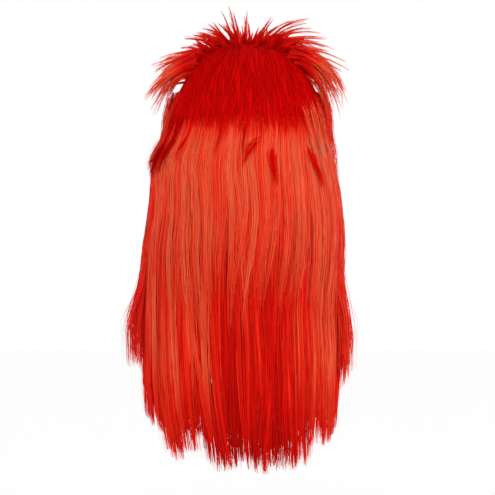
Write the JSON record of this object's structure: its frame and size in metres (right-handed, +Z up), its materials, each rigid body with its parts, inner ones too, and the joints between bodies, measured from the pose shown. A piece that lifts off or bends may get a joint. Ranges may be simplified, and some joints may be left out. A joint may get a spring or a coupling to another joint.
{
  "type": "mullet costume wig",
  "caption": "Costume mullet wig: a stretch cap with an elastic edge, a short spiky teased crown, fringe and side hair, and long straight layered hair down the back.",
  "frame": {"origin": "inside of the cap's crown, where it sits on the top of the head", "axes": "+Z up, -Y the way the wearer faces, +X the wearer's left"},
  "size_m": [0.2697, 0.2542, 0.5461],
  "materials": {
    "hair": "satin synthetic fibre, orange red",
    "crown_hair": "teased synthetic fibre, deep red, matt",
    "cap_net": "stretch knit, matt",
    "elastic": "woven elastic, matt"
  },
  "bodies": {
    "root": {"cap": "cap_net", "elastic_band": "elastic", "crown_spikes": "crown_hair", "fringe": "hair", "side_left": "hair", "side_right": "hair", "back_layer": "hair", "long_back": "hair"}
  },
  "joints": []
}
